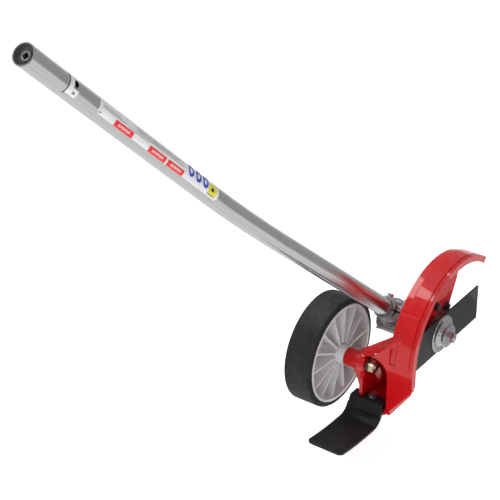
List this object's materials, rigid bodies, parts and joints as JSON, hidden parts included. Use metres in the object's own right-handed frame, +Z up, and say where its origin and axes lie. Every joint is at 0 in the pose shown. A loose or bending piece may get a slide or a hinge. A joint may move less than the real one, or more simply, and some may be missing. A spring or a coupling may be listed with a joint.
{
  "type": "lawn edger",
  "caption": "Lawn edger attachment: bent aluminium boom to a geared head, with a flat steel blade under a red cast guard, a depth wheel in a curved slot and a rubber flap.",
  "frame": {"origin": "centre of the boom's open upper end, where it enters the power head's coupler", "axes": "+Y forward, away from the operator, +Z up, +X along the blade's spindle from the wheel to the blade; the boom runs down and forward in the YZ plane"},
  "size_m": [0.1696, 0.809, 0.7626],
  "materials": {
    "boom_metal": "extruded, satin",
    "case_metal": "die cast, lightly blasted",
    "red_paint": "gloss over cast metal",
    "blade_paint": "satin black coating on steel",
    "zinc_steel": "zinc plated",
    "black_steel": "black oxide",
    "yellow_zinc": "yellow zinc plated",
    "rim_plastic": "moulded, light grey",
    "tyre_rubber": "moulded, matt tread",
    "bush_plastic": "acetal",
    "flap_rubber": "fabric reinforced",
    "liner_plastic": "extruded",
    "shaft_steel": "wound wire, greased",
    "bearing_steel": "ground",
    "seal_rubber": "nitrile"
  },
  "bodies": {
    "root": {"boom_tube": "boom_metal", "flex_liner": "liner_plastic", "flex_core": "shaft_steel", "mouth_bush": "bush_plastic", "liner_bushes": "bush_plastic", "gearcase": "case_metal", "gearcase_cover": "case_metal", "cover_screws": "zinc_steel", "clamp_screw": "zinc_steel", "locating_screw": "zinc_steel", "grease_plug": "yellow_zinc", "arbor_seal": "seal_rubber", "arbor_bearing_outer_rings": "bearing_steel", "arbor_bearing_balls": "bearing_steel", "pinion_bearing_outer_rings": "bearing_steel", "pinion_bearing_balls": "bearing_steel", "pinion_circlip": "shaft_steel", "guard": "red_paint", "guard_bolts": "black_steel", "rubber_flap": "flap_rubber", "flap_washer": "zinc_steel", "flap_screw": "zinc_steel", "flap_nut": "zinc_steel"},
    "drive_coupling": {"drive_end": "shaft_steel"},
    "pinion_shaft": {"bevel_pinion": "shaft_steel", "pinion_bearing_inner_rings": "bearing_steel"},
    "arbor_shaft": {"arbor": "shaft_steel", "bevel_gear": "shaft_steel", "arbor_bearing_inner_rings": "bearing_steel", "inner_flange": "zinc_steel", "blade": "blade_paint", "outer_flange": "zinc_steel", "cup_washer": "zinc_steel", "arbor_nut": "zinc_steel"},
    "wheel_carrier": {"axle_sleeve": "red_paint", "axle_bolt": "zinc_steel", "axle_nut": "yellow_zinc", "axle_washer": "black_steel", "axle_head_washer": "zinc_steel"},
    "wheel": {"wheel_rim": "rim_plastic", "tyre": "tyre_rubber", "wheel_bushes": "bush_plastic"}
  },
  "joints": [
    {"name": "arbor_spin", "type": "hinge", "parent": "root", "child": "arbor_shaft", "pos_m": [0.054, 0.70534, -0.65932], "axis": [1, 0, 0], "continuous": true},
    {"name": "pinion_spin", "type": "hinge", "parent": "root", "child": "pinion_shaft", "pos_m": [0, 0.70534, -0.65932], "axis": [0, -0.7466, 0.6652], "continuous": true},
    {"name": "drive_spin", "type": "hinge", "parent": "root", "child": "drive_coupling", "pos_m": [0, 0, 0], "axis": [0, -0.7128, 0.7014], "continuous": true},
    {"name": "wheel_depth", "type": "hinge", "parent": "root", "child": "wheel_carrier", "pos_m": [0.054, 0.57733, -0.7329], "axis": [1, 0, 0], "range_deg": [-43.5, 0]},
    {"name": "wheel_spin", "type": "hinge", "parent": "wheel_carrier", "child": "wheel", "pos_m": [-0.0632, 0.61414, -0.67812], "axis": [1, 0, 0], "continuous": true}
  ],
  "couplings": [
    {"joint": "pinion_spin", "follows": "arbor_spin", "ratio": 1.5833},
    {"joint": "drive_spin", "follows": "arbor_spin", "ratio": 1.5833}
  ]
}
